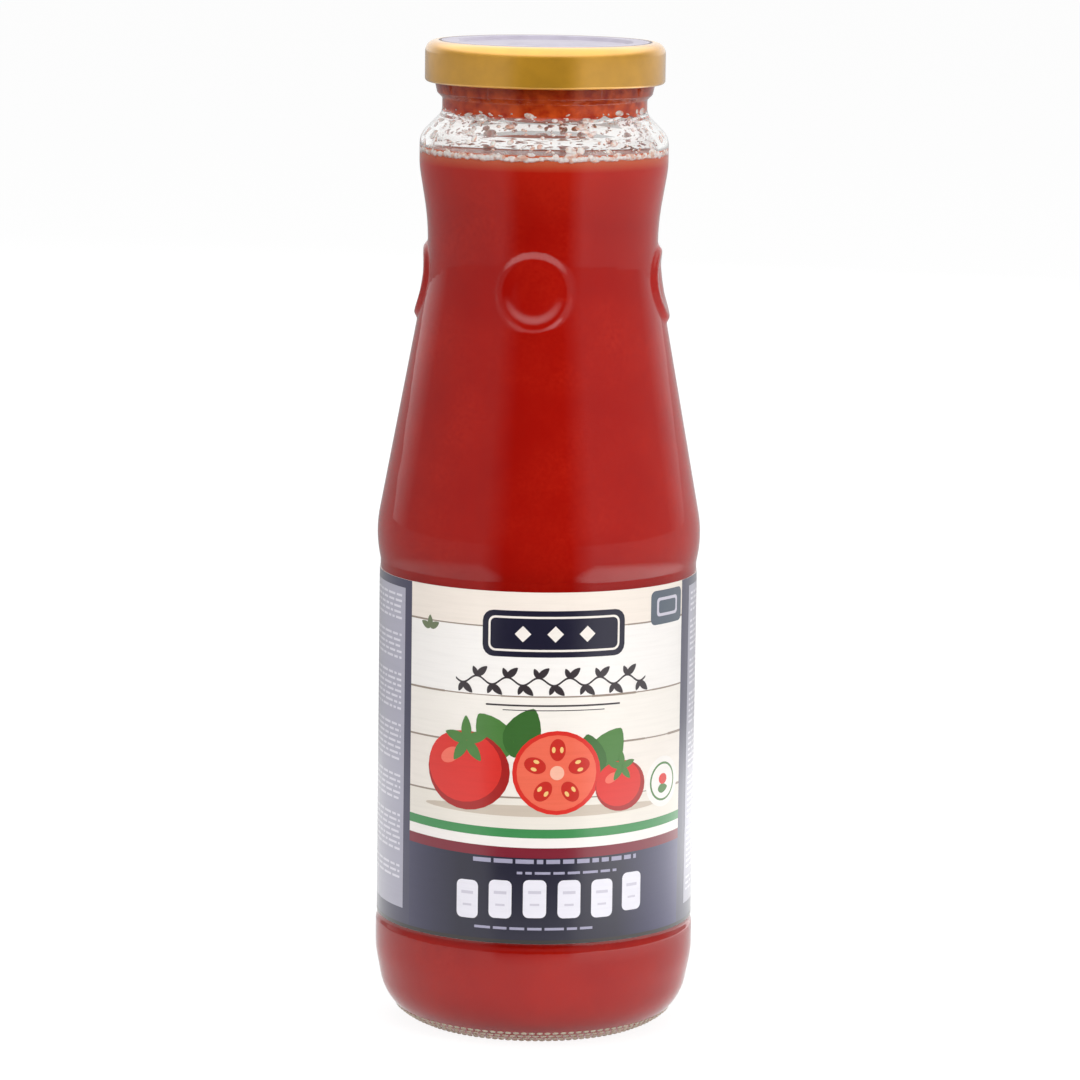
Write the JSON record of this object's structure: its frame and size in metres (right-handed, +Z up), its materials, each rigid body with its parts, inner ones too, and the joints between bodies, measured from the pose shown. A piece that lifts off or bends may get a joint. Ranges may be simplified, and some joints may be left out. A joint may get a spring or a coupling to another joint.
{
  "type": "passata bottle",
  "caption": "Tall clear glass bottle of tomato passata with a waisted shoulder, round bosses, a wrap-round paper label and a gold twist-off lid.",
  "frame": {"origin": "centre of the base, on the plane that the bottle stands on", "axes": "+Z up along the bottle's axis, the front of the label towards -Y, +X to the right of the front"},
  "size_m": [0.076, 0.076, 0.2323],
  "materials": {
    "clear_glass": "clear, smooth, moulded soda-lime glass",
    "tomato_passata": "wet, smooth sieved tomato",
    "label_paper": "printed satin paper",
    "gold_tinplate": "gold lacquered tinplate, satin"
  },
  "bodies": {
    "root": {"bottle": "clear_glass", "passata": "tomato_passata", "label": "label_paper", "lid": "gold_tinplate"}
  },
  "joints": []
}
